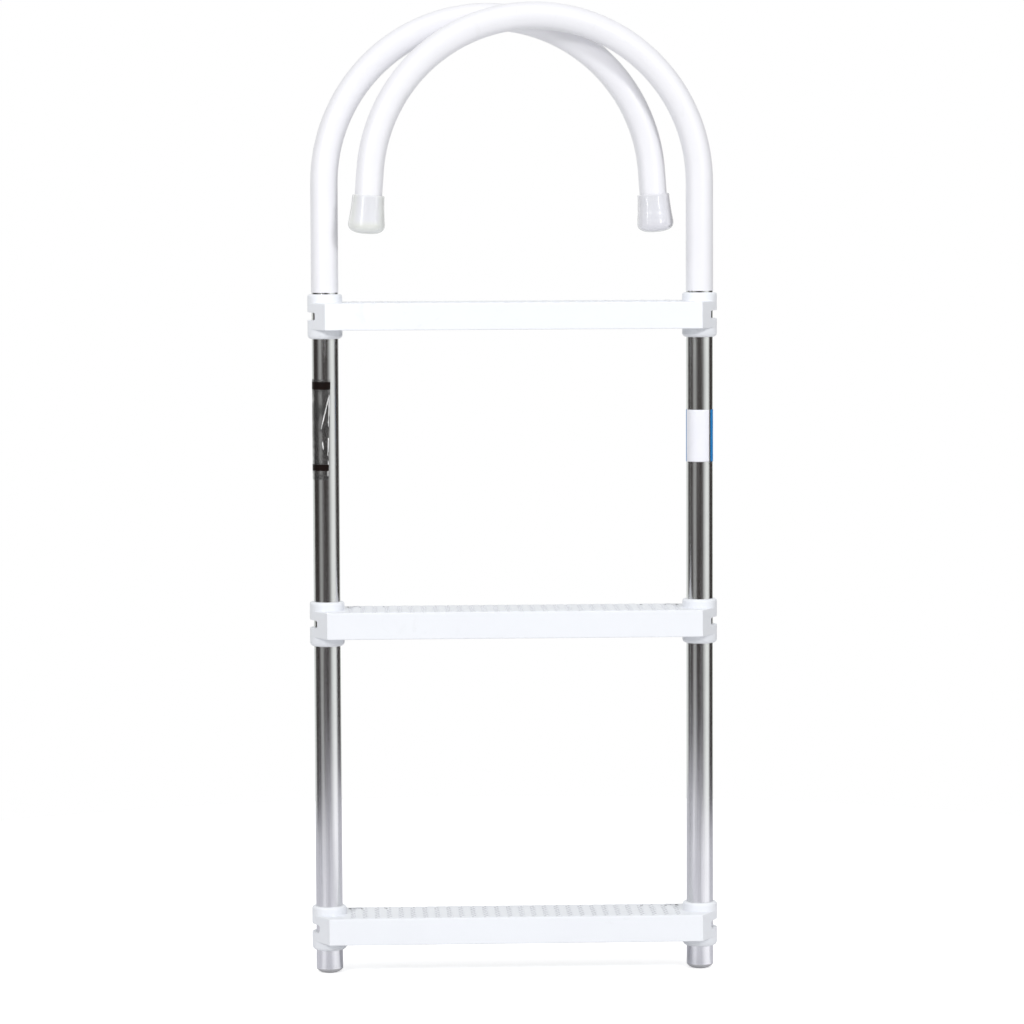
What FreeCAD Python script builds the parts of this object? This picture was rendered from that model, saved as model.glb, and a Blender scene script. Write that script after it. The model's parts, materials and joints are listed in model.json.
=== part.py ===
import FreeCAD, Part
import math
import os

# Boarding ladder with three moulded steps on two tubes, whose tops are hooks for a gunwale.
# X runs across the ladder, the rear (boat side) is +Y, and Z is up.
# The origin is midway between the tubes, level with the underside of the hooks, which sit on the gunwale.

# Driving dimensions, in millimetres and degrees
step_spacing = 292.1
step_count = 3
tube_spacing = 355.6

tube_diameter = 25.4
tube_wall = 1.5
sleeve_wall = 0.25
sleeve_gap = 1.5
hook_radius = 156.9
hook_straight = 104.2
hook_sweep = 175.8
hook_free_leg = 45.4
hook_fold_angle = 5.0
tube_below_steps = 17.7

collar_diameter = 33.0
collar_rise = 8.1
collar_drop = 8.8
collar_top_round = 2.3
collar_bevel_width = 3.7
collar_bevel_height = 3.2
collar_bevel_bow = 0.8
bore_clearance = 0.08

step_depth = 66.7
step_height = 25.4
step_edge_round = 1.0
step_wall = 2.8
tread_thickness = 3.0
inner_rib = 2.2
pockets_across = 8

band_pitch = 11.5
band_width = 5.5
band_height = 0.3
band_inset = 2.0

drain_width = 3.0
drain_length = 12.8
drain_inset = 8.5
drain_from_collar = 2.8
drain_hole_from_collar = 37.9

notch_height = 7.5
notch_reach = 9.6
notch_round = 1.5
notch_mouth_round = 0.8

cap_height = 36.2
cap_floor = 13.5
cap_lip_diameter = 30.4
cap_lip_round = 0.8
cap_foot_diameter = 34.7
cap_dome_height = 8.3
cap_dome_corner = 5.0
cap_flare_bow = -0.4

plug_flange = 4.4
plug_edge = 0.4
plug_flat_diameter = 10.8
plug_stem = 16.0
plug_clearance = 0.1

cut_margin = 1.0
edge_tolerance = 0.01

# Sizes that follow from them
axis_x = tube_spacing / 2
tube_radius = tube_diameter / 2
tube_bore = tube_radius - tube_wall
sleeve_radius = tube_radius + sleeve_wall
collar_radius = collar_diameter / 2
half_depth = step_depth / 2

hook_centre_z = -(hook_radius - sleeve_radius)
top_collar_z = hook_centre_z - hook_straight
top_tread_z = top_collar_z - collar_rise
bottom_tread_z = top_tread_z - (step_count - 1) * step_spacing
tube_foot_z = bottom_tread_z - step_height - collar_drop - tube_below_steps
sleeve_start_z = top_collar_z + sleeve_gap

up = FreeCAD.Vector(0, 0, 1)
rearward = FreeCAD.Vector(0, 1, 0)
step_names = ["top_step", "middle_step", "bottom_step"]


def point(x, y, z=0.0):
    return FreeCAD.Vector(x, y, z)


# Solids of revolution, drawn as half sections (radius, height) anticlockwise from the axis

def turned(points, arcs):
    """Solid of revolution about Z; arcs gives the middle of each side that is an arc."""
    corners = [point(r, 0, z) for r, z in points]
    edges = []
    for i, start in enumerate(corners):
        end = corners[(i + 1) % len(corners)]
        if i in arcs:
            middle = point(arcs[i][0], 0, arcs[i][1])
            edges.append(Part.Arc(start, middle, end).toShape())
        else:
            edges.append(Part.makeLine(start, end))
    return Part.Face(Part.Wire(edges)).revolve(point(0, 0), up, 360)


def on_circle(centre, radius, angle):
    """Point of a circle in the half section, at an angle in degrees."""
    turn = math.radians(angle)
    return (centre[0] + radius * math.cos(turn), centre[1] + radius * math.sin(turn))


def bowed(start, end, bow):
    """Middle of a shallow arc between two points of the half section, bowed outwards."""
    run = (end[0] - start[0], end[1] - start[1])
    length = math.hypot(run[0], run[1])
    middle = ((start[0] + end[0]) / 2, (start[1] + end[1]) / 2)
    return (middle[0] + bow * run[1] / length, middle[1] - bow * run[0] / length)


# Steps

def step_outline(z):
    """Plan of a step: front and rear faces as long as the tube spacing, then flats that meet the round ends."""
    lean = math.acos(collar_radius / half_depth)
    touch_x = axis_x + collar_radius * math.sin(lean)
    touch_y = collar_radius * math.cos(lean)
    corners = [(axis_x, -half_depth), (touch_x, -touch_y), (touch_x, touch_y), (axis_x, half_depth)]
    right = [point(x, y, z) for x, y in corners]
    left = [point(-x, -y, z) for x, y in corners]
    edges = []
    for side, end_x in ((right, axis_x + collar_radius), (left, -axis_x - collar_radius)):
        edges.append(Part.makeLine(side[0], side[1]))
        edges.append(Part.Arc(side[1], point(end_x, 0, z), side[2]).toShape())
        edges.append(Part.makeLine(side[2], side[3]))
    edges.insert(3, Part.makeLine(right[3], left[0]))
    edges.append(Part.makeLine(left[3], right[0]))
    return Part.Wire(edges)


def rounded_bar():
    """The body of a step from its underside up to z = 0, with its outer edges rounded."""
    bar = Part.Face(step_outline(-step_height)).extrude(point(0, 0, step_height))
    rims = [edge for edge in bar.Edges if edge.BoundBox.ZLength < edge_tolerance]
    return bar.makeFillet(step_edge_round, rims)


def collar(x):
    """Round collar that stands above and below the bar, rounded at the top and bevelled at the bottom."""
    low = -step_height - collar_drop
    high = collar_rise
    bevel_start = (collar_radius - collar_bevel_width, low)
    bevel_end = (collar_radius, low + collar_bevel_height)
    rim_centre = (collar_radius - collar_top_round, high - collar_top_round)
    points = [
        (0, low),
        bevel_start,
        bevel_end,
        (collar_radius, rim_centre[1]),
        (rim_centre[0], high),
        (0, high),
    ]
    arcs = {
        1: bowed(bevel_start, bevel_end, collar_bevel_bow),
        3: on_circle(rim_centre, collar_top_round, 45),
    }
    post = turned(points, arcs)
    post.translate(point(x, 0))
    return post


def tread_bands():
    """Raised bands across the tread, as many as fit between the collars."""
    room = 2 * (axis_x - collar_radius)
    count = int((room - band_width) / band_pitch)
    first = -(count - 1) * band_pitch / 2 - band_width / 2
    reach = half_depth - band_inset
    bands = []
    for i in range(count):
        corner = point(first + i * band_pitch, -reach, -band_height)
        bands.append(Part.makeBox(band_width, 2 * reach, 2 * band_height, corner))
    return bands


def underside_pockets():
    """Hollows under the tread, which leave the outer walls, one lengthwise rib and crosswise ribs."""
    half_length = axis_x - collar_radius - step_wall
    cell = (2 * half_length + inner_rib) / pockets_across
    width = half_depth - step_wall - inner_rib / 2
    deep = step_height - tread_thickness
    pockets = []
    for i in range(pockets_across):
        x = -half_length + i * cell
        for y in (inner_rib / 2, -inner_rib / 2 - width):
            pockets.append(Part.makeBox(cell - inner_rib, width, deep, point(x, y, -step_height)))
    return pockets


def drains():
    """Slot and small hole by the rear edge of the tread, at each end, down into the hollow underside."""
    y = half_depth - drain_inset
    low = -tread_thickness - cut_margin
    deep = band_height + cut_margin - low
    collar_edge = axis_x - collar_radius
    cuts = []
    for side in (-1, 1):
        slot_x = side * (collar_edge - drain_from_collar - drain_length / 2)
        corner = point(slot_x - drain_length / 2, y - drain_width / 2, low)
        cuts.append(Part.makeBox(drain_length, drain_width, deep, corner))
        hole_x = side * (collar_edge - drain_hole_from_collar)
        cuts.append(Part.makeCylinder(drain_width / 2, deep, point(hole_x, y, low)))
    return cuts


def notch(side):
    """Slot from front to rear across the outer side of a collar, at the bar's mid-height."""
    reach = collar_radius - notch_reach + cut_margin
    x = side * (axis_x + notch_reach)
    corner = point(min(x, x + side * reach), -half_depth, -step_height / 2 - notch_height / 2)
    block = Part.makeBox(reach, step_depth, notch_height, corner)
    inner = [edge for edge in block.Edges
             if edge.BoundBox.XLength < edge_tolerance and edge.BoundBox.ZLength < edge_tolerance
             and abs(edge.CenterOfMass.x - x) < edge_tolerance]
    return block.makeFillet(notch_round, inner)


def with_notches(step):
    """The step with a notch cut at each end and the mouth of each notch rounded."""
    step = step.cut([notch(-1), notch(1)])
    top = -step_height / 2 + notch_height / 2 + edge_tolerance
    bottom = top - notch_height - 2 * edge_tolerance
    mouth = []
    for edge in step.Edges:
        box = edge.BoundBox
        outer = min(abs(box.XMin), abs(box.XMax)) > axis_x + notch_reach - edge_tolerance
        runs_through = box.XLength < edge_tolerance and box.ZLength < edge_tolerance
        if outer and box.ZMin > bottom and box.ZMax < top and not runs_through:
            mouth.append(edge)
    return step.makeFillet(notch_mouth_round, mouth)


def moulded_step():
    """One step as moulded, with the top of its tread plate at z = 0."""
    outside = rounded_bar().fuse([collar(-axis_x), collar(axis_x)]).removeSplitter()
    shell = with_notches(outside).cut(underside_pockets()).fuse(tread_bands())
    bore = tube_radius + bore_clearance
    low = -step_height - collar_drop - cut_margin
    deep = collar_rise + cut_margin - low
    bores = [Part.makeCylinder(bore, deep, point(x, 0, low)) for x in (-axis_x, axis_x)]
    return shell.cut(bores + drains()).removeSplitter()


# Tubes with their hooks, made with the stile on the Z axis and the hook towards +X

def on_bend(angle):
    """Point of the hook's centre line, with the bend starting at 0 degrees at the top of the stile."""
    turn = math.radians(angle)
    return point(hook_radius * (1 - math.cos(turn)), 0, hook_centre_z + hook_radius * math.sin(turn))


def along_free_leg(distance):
    """Point of the centre line of the free leg, which leans outwards, below the end of the bend."""
    turn = math.radians(hook_sweep)
    return on_bend(hook_sweep) + point(math.sin(turn), 0, math.cos(turn)) * distance


def pipe(start_z, outer, inner):
    """Hollow pipe up the stile from start_z, round the hook and down its free leg."""
    stile = Part.makeLine(point(0, 0, start_z), on_bend(0))
    bend = Part.Arc(on_bend(0), on_bend(hook_sweep / 2), on_bend(hook_sweep)).toShape()
    leg = Part.makeLine(on_bend(hook_sweep), along_free_leg(hook_free_leg))
    path = Part.Wire([stile, bend, leg])
    rods = []
    for radius in (outer, inner):
        rim = Part.Wire([Part.makeCircle(radius, point(0, 0, start_z), up)])
        rods.append(path.makePipe(Part.Face(rim)))
    return rods[0].cut(rods[1])


def hook_cap():
    """Soft cap over the sleeve, widening to a foot with a domed end, standing on z = 0 with the axis on Z."""
    foot = cap_foot_diameter / 2
    lip = cap_lip_diameter / 2
    corner_centre = (foot - cap_dome_corner, cap_dome_height)
    dome_rise = cap_dome_height - cap_dome_corner
    dome_radius = (corner_centre[0] ** 2 + cap_dome_height ** 2 - cap_dome_corner ** 2) / (2 * dome_rise)
    dome_centre = (0, dome_radius)
    half_angle = math.degrees(math.asin(corner_centre[0] / (dome_radius - cap_dome_corner)))
    meet = -90 + half_angle
    rim_centre = (lip - cap_lip_round, cap_height - cap_lip_round)
    points = [
        (0, 0),
        on_circle(dome_centre, dome_radius, meet),
        (foot, cap_dome_height),
        (lip, rim_centre[1]),
        (rim_centre[0], cap_height),
        (sleeve_radius, cap_height),
        (sleeve_radius, cap_floor),
        (0, cap_floor),
    ]
    arcs = {
        0: on_circle(dome_centre, dome_radius, -90 + half_angle / 2),
        1: on_circle(corner_centre, cap_dome_corner, meet / 2),
        2: bowed(points[2], points[3], cap_flare_bow),
        3: on_circle(rim_centre, cap_lip_round, 45),
    }
    return turned(points, arcs)


def foot_plug():
    """Plug with a rounded flange as wide as the tube and a stem inside it, with the tube's end at z = 0."""
    stem = tube_bore - plug_clearance
    flat = plug_flat_diameter / 2
    drop = plug_flange - plug_edge
    side = tube_radius - flat
    flange_radius = (side ** 2 + drop ** 2) / (2 * drop)
    round_centre = (flat, flange_radius - plug_flange)
    half_angle = math.degrees(math.atan2(side, flange_radius - drop)) / 2
    points = [
        (0, -plug_flange),
        (flat, -plug_flange),
        (tube_radius, -plug_edge),
        (tube_radius, 0),
        (stem, 0),
        (stem, plug_stem),
        (0, plug_stem),
    ]
    arcs = {1: on_circle(round_centre, flange_radius, -90 + half_angle)}
    return turned(points, arcs)


def rail(side):
    """Name and shape of each piece of one rail, turned and moved to its place in the ladder."""
    cap = hook_cap()
    cap.rotate(point(0, 0), rearward, hook_sweep - 180)
    cap.translate(along_free_leg(hook_free_leg + cap_floor))
    plug = foot_plug()
    plug.translate(point(0, 0, tube_foot_z))
    pieces = {
        "tube": pipe(tube_foot_z, tube_radius, tube_bore),
        "hook_sleeve": pipe(sleeve_start_z, sleeve_radius, tube_radius),
        "hook_cap": cap,
        "foot_plug": plug,
    }
    heading = hook_fold_angle if side < 0 else 180 + hook_fold_angle
    for shape in pieces.values():
        shape.rotate(point(0, 0), up, heading)
        shape.translate(point(side * axis_x, 0))
    return pieces


# Write each piece to its own file

def write(name, shape):
    shape.exportStep("parts/" + name + ".step")
    print(name, "solids", len(shape.Solids), "volume", round(shape.Volume), "valid", shape.isValid())


os.makedirs("parts", exist_ok=True)
for i in range(step_count):
    step = moulded_step()
    step.translate(point(0, 0, top_tread_z - i * step_spacing))
    write(step_names[i], step)
for side, side_name in ((-1, "left"), (1, "right")):
    for piece_name, shape in rail(side).items():
        write(side_name + "_" + piece_name, shape)
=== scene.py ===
# %% [markdown]
# A boarding ladder, dressed for its portrait.
# The real thing is a light folding ladder for a small boat: three moulded white steps on two aluminium
# tubes, whose tops are bent into hooks, covered with white vinyl and closed with soft milky caps.
# The engineering model already holds every piece at its true size, in metres. This lesson gives each piece
# its finish, adds what is too small or too thin for that model, and sets up the camera, the floor and the
# light. It works in the model's own frame, so each piece goes where the model says.

# %% Load the fixed frame
import json
import math

import bmesh
import bpy
from mathutils import Matrix, Vector


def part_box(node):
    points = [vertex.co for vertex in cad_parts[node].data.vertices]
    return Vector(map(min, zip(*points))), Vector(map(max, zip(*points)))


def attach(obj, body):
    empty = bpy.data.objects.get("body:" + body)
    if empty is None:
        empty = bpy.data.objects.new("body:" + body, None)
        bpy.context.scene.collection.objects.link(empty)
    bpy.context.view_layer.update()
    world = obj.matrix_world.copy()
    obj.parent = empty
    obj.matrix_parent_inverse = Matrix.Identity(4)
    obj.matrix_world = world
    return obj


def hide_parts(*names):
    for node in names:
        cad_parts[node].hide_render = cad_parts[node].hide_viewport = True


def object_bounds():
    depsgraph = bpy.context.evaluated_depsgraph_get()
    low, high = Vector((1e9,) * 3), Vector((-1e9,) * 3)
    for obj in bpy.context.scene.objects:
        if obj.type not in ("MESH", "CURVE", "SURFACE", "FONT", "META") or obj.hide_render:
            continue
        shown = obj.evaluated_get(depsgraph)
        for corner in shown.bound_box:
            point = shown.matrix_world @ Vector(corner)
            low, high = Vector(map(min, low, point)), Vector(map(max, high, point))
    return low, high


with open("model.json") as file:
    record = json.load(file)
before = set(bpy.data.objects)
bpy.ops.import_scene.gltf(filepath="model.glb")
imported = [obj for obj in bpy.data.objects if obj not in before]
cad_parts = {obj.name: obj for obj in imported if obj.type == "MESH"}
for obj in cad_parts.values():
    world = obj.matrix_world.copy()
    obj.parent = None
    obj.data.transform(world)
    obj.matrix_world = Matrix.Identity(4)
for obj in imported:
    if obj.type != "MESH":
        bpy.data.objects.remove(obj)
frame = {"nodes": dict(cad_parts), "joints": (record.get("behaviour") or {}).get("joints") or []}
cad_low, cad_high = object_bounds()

MM = 0.001
nodes = frame["nodes"]
print("nodes:", sorted(nodes))
print("box in mm:", [round(v / MM, 1) for v in cad_high - cad_low])

# %% [markdown]
# Later cells need a few places on the ladder. They could be typed in, but then they would be wrong as soon
# as the model changed, so they are read from the frame. The tubes turn about their own upright axes, and
# each hinge gives the centre line of its tube. The steps' boxes give the top of their collars, and the
# treads lie a known step below it.

# %% Places on the ladder
COLLAR_RISE = 8.1 * MM

axis_x = {joint["child"]: joint["pos_m"][0] for joint in frame["joints"]}
step_names = ["top_step", "middle_step", "bottom_step"]
tread_level = {step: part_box(step)[1].z - COLLAR_RISE for step in step_names}
top_collar_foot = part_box("top_step")[0].z
floor_level = cad_low.z
print("tube axes:", axis_x)
print("treads:", {step: round(z, 4) for step, z in tread_level.items()})
print("foot of the top collars:", round(top_collar_foot, 4), "floor:", round(floor_level, 4))

# %% [markdown]
# The camera stands where the photographer stood: almost straight in front, level with the ends of the
# hooks, with a long lens. It is turned a touch to the right, tipped down a few degrees, and not quite level.
# It could be aimed by a matrix of nine numbers, or track a target. It is built as three turns in a row
# instead, because each of them says what the photographer did.

# %% Camera
CAMERA_PLACE = Vector((-0.1697, -3.8595, -0.1542))
# lens and sensor in millimetres, as Blender wants them
CAMERA_LENS = 143.1
SENSOR_WIDTH = 36
CAMERA_HEADING = math.radians(2.498)
CAMERA_TIP = math.radians(4.471)
CAMERA_ROLL = math.radians(0.242)


def make_camera():
    data = bpy.data.cameras.new("camera")
    data.sensor_width = SENSOR_WIDTH
    data.lens = CAMERA_LENS
    camera = bpy.data.objects.new("camera", data)
    bpy.context.scene.collection.objects.link(camera)
    turn = Matrix.Rotation(-CAMERA_HEADING, 4, "Z")
    tip = Matrix.Rotation(math.pi / 2 - CAMERA_TIP, 4, "X")
    roll = Matrix.Rotation(-CAMERA_ROLL, 4, "Z")
    camera.matrix_world = Matrix.Translation(CAMERA_PLACE) @ turn @ tip @ roll
    bpy.context.scene.camera = camera
    return camera


camera = make_camera()
bpy.context.scene.view_settings.view_transform = "Standard"
print("camera at", [round(v, 3) for v in camera.location], "lens", camera.data.lens)

# %% [markdown]
# A finish is a tree of nodes. It can be drawn by hand in the shader editor, or written down as here, which
# gives the same tree on each run. A written tree is easy to read when the wiring is short, so these helpers
# add a node, join two sockets and do sums. An input can be a number, a colour or another node's output, and
# the helper tells them apart. A pair of values with EDGES in its name says where a ramp begins and ends.

# %% Helpers for node trees


def put(tree, value, socket):
    """Gives a socket a plain value, or a link when the value is another node's output."""
    if isinstance(value, bpy.types.NodeSocket):
        tree.links.new(value, socket)
    else:
        socket.default_value = value


def add(tree, kind, inputs=None, **settings):
    """A new node with its settings and its inputs by name or number."""
    node = tree.nodes.new(kind)
    for name, value in settings.items():
        setattr(node, name, value)
    for key, value in (inputs or {}).items():
        put(tree, value, node.inputs[key])
    return node


def sums(tree, operation, first, second=0.0, third=0.0):
    """One of the Math node's sums. MULTIPLY_ADD is first times second plus third."""
    return add(tree, "ShaderNodeMath", {0: first, 1: second, 2: third}, operation=operation).outputs[0]


def ramp(tree, value, start, end, low=0.0, high=1.0):
    """A value eased from low to high while the input goes from start to end."""
    inputs = {"Value": value, "From Min": start, "From Max": end, "To Min": low, "To Max": high}
    return add(tree, "ShaderNodeMapRange", inputs, interpolation_type="SMOOTHSTEP").outputs["Result"]


def between(tree, mask, low, high):
    """A value eased from low to high by a mask."""
    return ramp(tree, mask, 0.0, 1.0, low, high)


print("helpers for node trees ready")

# %% [markdown]
# Colours are mixed by a mask, and a colour socket wants four numbers. Patterns are looked up by the place on
# the piece. An unwrapped image would need that too, but a place in metres keeps every pattern at its true
# size, has no seams, and stays with the piece when its joint turns.

# %% Helpers for colours and patterns


def rgb(red, green, blue):
    return (red, green, blue, 1.0)


def grey(level):
    return rgb(level, level, level)


def grey_of(tree, level):
    """A grey whose level comes from another node."""
    return add(tree, "ShaderNodeCombineColor", {0: level, 1: level, 2: level}).outputs[0]


def mixed(tree, mask, first, second):
    """The first colour where the mask is 0, the second where it is 1."""
    node = add(tree, "ShaderNodeMix", data_type="RGBA")
    put(tree, mask, node.inputs["Factor"])
    put(tree, first, [s for s in node.inputs if s.name == "A" and s.type == "RGBA"][0])
    put(tree, second, [s for s in node.inputs if s.name == "B" and s.type == "RGBA"][0])
    return [s for s in node.outputs if s.type == "RGBA"][0]


def place_on(tree):
    """The place on the piece, in metres, as it is at rest."""
    return add(tree, "ShaderNodeTexCoord").outputs["Object"]


def split(tree, vector):
    return add(tree, "ShaderNodeSeparateXYZ", {0: vector}).outputs


def stretched_place(tree, along):
    """The place on the piece, with its height scaled by a number or a socket."""
    x, y, z = split(tree, place_on(tree))
    height = sums(tree, "MULTIPLY", z, along)
    return add(tree, "ShaderNodeCombineXYZ", {0: x, 1: y, 2: height}).outputs[0]


def noise(tree, place, scale, detail, distortion=0.0):
    inputs = {"Vector": place, "Scale": scale, "Detail": detail, "Distortion": distortion}
    return add(tree, "ShaderNodeTexNoise", inputs).outputs[0]


print("helpers for colours and patterns ready")

# %% [markdown]
# An effect that comes back in several finishes is a shader node group: built once, with named inputs, and
# placed in each material with its own values. It could hold the whole shader, but then every finish would
# be alike. So a group here puts out only a value or a colour, and the shader stays in the material.

# %% Helper for node groups
FLOAT = "NodeSocketFloat"
COLOUR = "NodeSocketColor"


def new_group(name, inputs, outputs):
    """An empty group and its two end nodes. Inputs are given with a default, outputs only with a kind."""
    tree = bpy.data.node_groups.new(name, "ShaderNodeTree")
    for label, kind, default in inputs:
        socket = tree.interface.new_socket(label, in_out="INPUT", socket_type=kind)
        socket.default_value = default
    for label, kind in outputs:
        tree.interface.new_socket(label, in_out="OUTPUT", socket_type=kind)
    return tree, tree.nodes.new("NodeGroupInput").outputs, tree.nodes.new("NodeGroupOutput").inputs


print("helper for node groups ready")

# %% [markdown]
# The mould was spark eroded, which leaves a fine matt grain on the plastic. Real dimples this small would
# take millions of faces, and all that shows of them is how they break up the shine. So the grain is noise
# in two sizes, used as relief. At a much larger size it also gives the slow waves of a moulding.

# %% Mould grain
COARSE_SIZE = 0.3
COARSE_SHARE = 0.5


def grain_group():
    tree, given, result = new_group("mould_grain", [("Scale", FLOAT, 900.0)], [("Grain", FLOAT)])
    place = place_on(tree)
    fine = noise(tree, place, given["Scale"], 3.0)
    coarse = noise(tree, place, sums(tree, "MULTIPLY", given["Scale"], COARSE_SIZE), 1.0)
    put(tree, sums(tree, "MULTIPLY_ADD", coarse, COARSE_SHARE, fine), result["Grain"])
    return tree


GRAIN = grain_group()
print("group:", GRAIN.name)

# %% [markdown]
# No moulding or sheet has quite one colour: it drifts a little, by how the plastic cooled and how it has
# aged. A flat colour looks like paint on a screen. Here a slow noise moves between a colour and a shade of
# it, and its mask is put out too, so that the shine can drift with the colour.

# %% Slow tint
TINT_EDGES = (0.35, 0.7)


def tint_group():
    inputs = [("Colour", COLOUR, grey(0.8)), ("Shade", COLOUR, grey(0.7)),
              ("Scale", FLOAT, 20.0), ("Amount", FLOAT, 0.5)]
    tree, given, result = new_group("slow_tint", inputs, [("Colour", COLOUR), ("Mask", FLOAT)])
    mask = ramp(tree, noise(tree, place_on(tree), given["Scale"], 4.0), *TINT_EDGES)
    share = sums(tree, "MULTIPLY", mask, given["Amount"])
    put(tree, mixed(tree, share, given["Colour"], given["Shade"]), result["Colour"])
    put(tree, mask, result["Mask"])
    return tree


TINT = tint_group()
print("group:", TINT.name)

# %% [markdown]
# Handling leaves faint, short rubs, a few here and none there. Strokes drawn one by one would take long and
# look placed. Instead only the crests of a twisted noise are kept as strokes, and a much larger noise
# decides in which patches they show.

# %% Handling scuffs
STROKE_EDGES = (0.60, 0.70)
STROKE_TWIST = 1.2
PATCH_SIZE = 0.12
PATCH_EDGES = (0.45, 0.65)


def scuff_group():
    inputs = [("Scale", FLOAT, 60.0), ("Stretch", FLOAT, 0.25), ("Amount", FLOAT, 0.5)]
    tree, given, result = new_group("handling_scuffs", inputs, [("Scuffs", FLOAT)])
    place = stretched_place(tree, given["Stretch"])
    strokes = ramp(tree, noise(tree, place, given["Scale"], 5.0, STROKE_TWIST), *STROKE_EDGES)
    patch_scale = sums(tree, "MULTIPLY", given["Scale"], PATCH_SIZE)
    patches = ramp(tree, noise(tree, place, patch_scale, 2.0), *PATCH_EDGES)
    both = sums(tree, "MULTIPLY", strokes, patches)
    put(tree, sums(tree, "MULTIPLY", both, given["Amount"]), result["Scuffs"])
    return tree


SCUFFS = scuff_group()
print("group:", SCUFFS.name)

# %% [markdown]
# A tube is drawn through a die, which leaves lines on it that are very long along the tube and very fine
# across it. A noise gives them when the height on the piece is squeezed to a small part of itself.

# %% Drawn lines


def lines_group():
    inputs = [("Scale", FLOAT, 1200.0), ("Stretch", FLOAT, 0.004)]
    tree, given, result = new_group("drawn_lines", inputs, [("Lines", FLOAT)])
    put(tree, noise(tree, stretched_place(tree, given["Stretch"]), given["Scale"], 2.0), result["Lines"])
    return tree


LINES = lines_group()
print("group:", LINES.name)

# %% [markdown]
# Every finish starts from the same empty material: one Principled shader, with the values that are the same
# all over the piece set on its own sockets. What changes over the surface is wired in afterwards. Relief
# can be stacked: the shallow waves first, then the fine grain on top of them.

# %% A material to start from


def new_material(name, **values):
    """A material, its tree and its one shader's sockets. Values go by socket name, with _ for a space."""
    material = bpy.data.materials.new(name)
    material.use_nodes = True
    tree = material.node_tree
    shader = tree.nodes["Principled BSDF"]
    for key, value in values.items():
        shader.inputs[key.replace("_", " ")].default_value = value
    return material, tree, shader.inputs


def place_group(tree, group, **values):
    """The outputs of a shared group, placed in a material with its own values."""
    node = add(tree, "ShaderNodeGroup", node_tree=group)
    for key, value in values.items():
        put(tree, value, node.inputs[key])
    return node.outputs


def bump(tree, height, depth, strength, under=None):
    """Relief of a depth in metres, on top of another relief if one is given."""
    inputs = {"Height": height, "Distance": depth, "Strength": strength}
    if under is not None:
        inputs["Normal"] = under
    return add(tree, "ShaderNodeBump", inputs).outputs["Normal"]


def dress(material, *names):
    """Gives the material to nodes of the model, in place of what they came with."""
    for name in names:
        nodes[name].data.materials.clear()
        nodes[name].data.materials.append(material)
    print(material.name, "on", names)


# %% [markdown]
# At the rear of each tread, near either end, a slot and a small hole drain it. The shade in them and beside
# them is painted on as near-black spots. It could be painted on an image by hand. Here each spot is an
# ellipse in the plan of the step, the same at both ends, because it is easy to place by the drain's own
# sizes, and a fine noise makes its edge ragged. The painted shade lies only at the level of a tread, and a
# little way into the drains.

# %% Painted shade in the drains
SLOT_SPAN = (145.7 * MM, 158.5 * MM)
HOLE_SPAN = (121.9 * MM, 124.9 * MM)
DRAIN_LINE = 24.85 * MM
DRAIN_SHADE_SPOTS = (
    # along the step, behind its middle, half its length, half its depth, darkness
    (sum(SLOT_SPAN) / 2, DRAIN_LINE, 6.6 * MM, 1.75 * MM, 0.45),
    (sum(HOLE_SPAN) / 2, DRAIN_LINE, 1.75 * MM, 1.75 * MM, 0.9),
    (157.6 * MM, 24.2 * MM, 1.9 * MM, 3.4 * MM, 1.0),
    (146.4 * MM, 22.2 * MM, 1.4 * MM, 2.8 * MM, 0.8),
    (sum(HOLE_SPAN) / 2, 23.6 * MM, 1.3 * MM, 2.8 * MM, 0.8),
)
SHADE_SPOT_EDGES = (1.4, 0.3)
SHADE_SPECKS = 520.0
SPECK_EDGES = (0.3, 0.7)
RAGGEDNESS = 0.8
# heights over the tread, coming from above and from below
SHADE_TOP_EDGES = (0.6 * MM, 0.5 * MM)
SHADE_FOOT_EDGES = (-6 * MM, -5 * MM)


def drain_shade(tree):
    """How much painted shade a place on a step gets, from 0 to 1."""
    place = place_on(tree)
    x, y, z = split(tree, place)
    x = sums(tree, "ABSOLUTE", x)
    ragged = ramp(tree, noise(tree, place, SHADE_SPECKS, 3.0), *SPECK_EDGES, -RAGGEDNESS, RAGGEDNESS)
    painted_shade = 0.0
    for middle_x, middle_y, half_length, half_depth, darkness in DRAIN_SHADE_SPOTS:
        across = sums(tree, "DIVIDE", sums(tree, "SUBTRACT", x, middle_x), half_length)
        deep = sums(tree, "DIVIDE", sums(tree, "SUBTRACT", y, middle_y), half_depth)
        from_middle = sums(tree, "MULTIPLY_ADD", across, across, sums(tree, "MULTIPLY", deep, deep))
        spot = ramp(tree, sums(tree, "ADD", from_middle, ragged), *SHADE_SPOT_EDGES, 0.0, darkness)
        painted_shade = sums(tree, "MAXIMUM", painted_shade, spot)
    at_tread = 0.0
    for level in tread_level.values():
        not_above = ramp(tree, z, *(level + edge for edge in SHADE_TOP_EDGES))
        not_below = ramp(tree, z, *(level + edge for edge in SHADE_FOOT_EDGES))
        at_tread = sums(tree, "MAXIMUM", at_tread, sums(tree, "MULTIPLY", not_above, not_below))
    return sums(tree, "MULTIPLY", painted_shade, at_tread)


print("dirt spots at each end of a tread:", len(DRAIN_SHADE_SPOTS))

# %% [markdown]
# The steps are injection moulded in one piece, from a white polypropylene with a satin skin. Their colour is
# a cool white that hardly changes, and plain white paint would do for that. What makes it look moulded is
# the shine: a grain that breaks it up, the very shallow waves that the plastic keeps when it shrinks on its
# ribs, and scuffs that dull it.

# %% Step plastic
STEP_WHITE = rgb(0.85, 0.87, 0.912)
STEP_SHADE = rgb(0.825, 0.845, 0.888)
STEP_SCUFF = rgb(0.76, 0.775, 0.80)
STEP_ROUGHNESS = (0.38, 0.46)
STEP_SCUFF_DULLS = 0.2
# near-black colour of the painted shade in and beside the drains
DRAIN_SHADE = rgb(0.035, 0.035, 0.045)


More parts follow.
